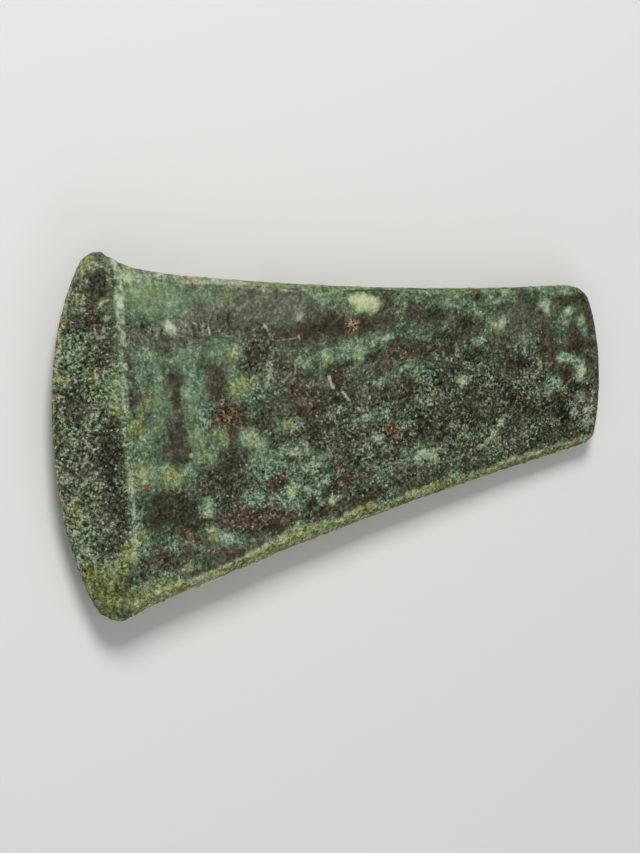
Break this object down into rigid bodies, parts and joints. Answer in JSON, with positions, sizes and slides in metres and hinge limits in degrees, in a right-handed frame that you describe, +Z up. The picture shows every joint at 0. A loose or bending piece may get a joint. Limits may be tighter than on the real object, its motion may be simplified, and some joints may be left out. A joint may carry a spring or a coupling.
{
  "type": "axe head",
  "caption": "Early bronze flat axe head: wide curved cutting edge with a ground bevel, straight crease, flat faces and a plain tapering body to a rounded butt, corroded green",
  "frame": {"origin": "bottom centre of the bounding box, on the surface the head lies on", "axes": "+X runs from the cutting edge to the butt, +Y across the head to the side with the larger blade tip, +Z up out of the shown broad face; the head lies flat on its under face"},
  "size_m": [0.1408, 0.0796, 0.0108],
  "materials": {
    "patinated_bronze": "matte corroded bronze: mottled green and teal patina over brown, earthy crust along the edges, a few copper-coloured scratches"
  },
  "bodies": {
    "root": {"axe_head": "patinated_bronze"}
  },
  "joints": []
}
